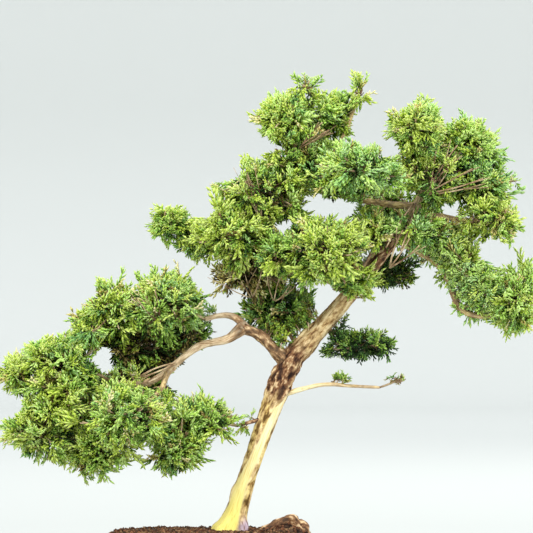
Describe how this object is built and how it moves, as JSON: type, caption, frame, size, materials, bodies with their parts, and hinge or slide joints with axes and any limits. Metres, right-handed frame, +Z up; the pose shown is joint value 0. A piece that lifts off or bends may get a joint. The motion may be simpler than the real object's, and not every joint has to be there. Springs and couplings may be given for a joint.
{
  "type": "tsukumo sawara cypress bonsai",
  "caption": "Small sawara cypress bonsai with a leaning, curving trunk, a long left bough and separate pads of fine green foliage, standing in a plain oval clay pot.",
  "frame": {"origin": "middle of the pot's flat underside", "axes": "+X to the viewer's right as in the picture, +Y away from the viewer, +Z up"},
  "size_m": [0.3574, 0.1684, 0.3547],
  "materials": {
    "clay": "matt unglazed brown clay",
    "soil": "matt reddish-brown granular soil",
    "bark": "fibrous bark with a pale yellow stripe of live wood",
    "foliage": "fine scale foliage, yellow-green at its tips"
  },
  "bodies": {
    "root": {"pot": "clay", "soil": "soil", "surface_root": "bark", "trunk": "bark", "left_bough": "bark", "left_upper_limb": "bark", "left_lower_limb": "bark", "left_far_limb": "bark", "left_under_limb": "bark", "left_down_limb": "bark", "left_back_limb": "bark", "left_west_limb": "bark", "left_inner_bough": "bark", "low_right_branch": "bark", "mid_left_bough": "bark", "mid_left_limb": "bark", "left_tip_limb": "bark", "mid_center_limb": "bark", "mid_back_limb": "bark", "upper_left_bough": "bark", "upper_mid_limb": "bark", "apex_limb": "bark", "apex_right_limb": "bark", "upper_back_limb": "bark", "right_outer_limb": "bark", "right_tip_limb": "bark", "right_back_limb": "bark", "right_drop_bough": "bark", "right_end_limb": "bark", "hanging_limb": "bark", "left_tip_foliage": "foliage", "left_dome_foliage": "foliage", "left_under_foliage": "foliage", "left_far_foliage": "foliage", "left_back_foliage": "foliage", "left_low_west_foliage": "foliage", "left_low_mid_foliage": "foliage", "left_low_right_foliage": "foliage", "apex_foliage": "foliage", "apex_right_foliage": "foliage", "upper_left_foliage": "foliage", "upper_mid_foliage": "foliage", "back_upper_foliage": "foliage", "right_top_inner_foliage": "foliage", "right_top_outer_foliage": "foliage", "back_right_foliage": "foliage", "mid_left_foliage": "foliage", "mid_low_foliage": "foliage", "mid_center_foliage": "foliage", "back_mid_foliage": "foliage", "center_right_foliage": "foliage", "front_middle_foliage": "foliage", "front_right_foliage": "foliage", "under_right_foliage": "foliage", "fork_tuft_foliage": "foliage", "right_spur_foliage": "foliage", "right_tip_foliage": "foliage", "right_hanging_foliage": "foliage", "right_end_foliage": "foliage", "low_right_sprays_foliage": "foliage"}
  },
  "joints": []
}
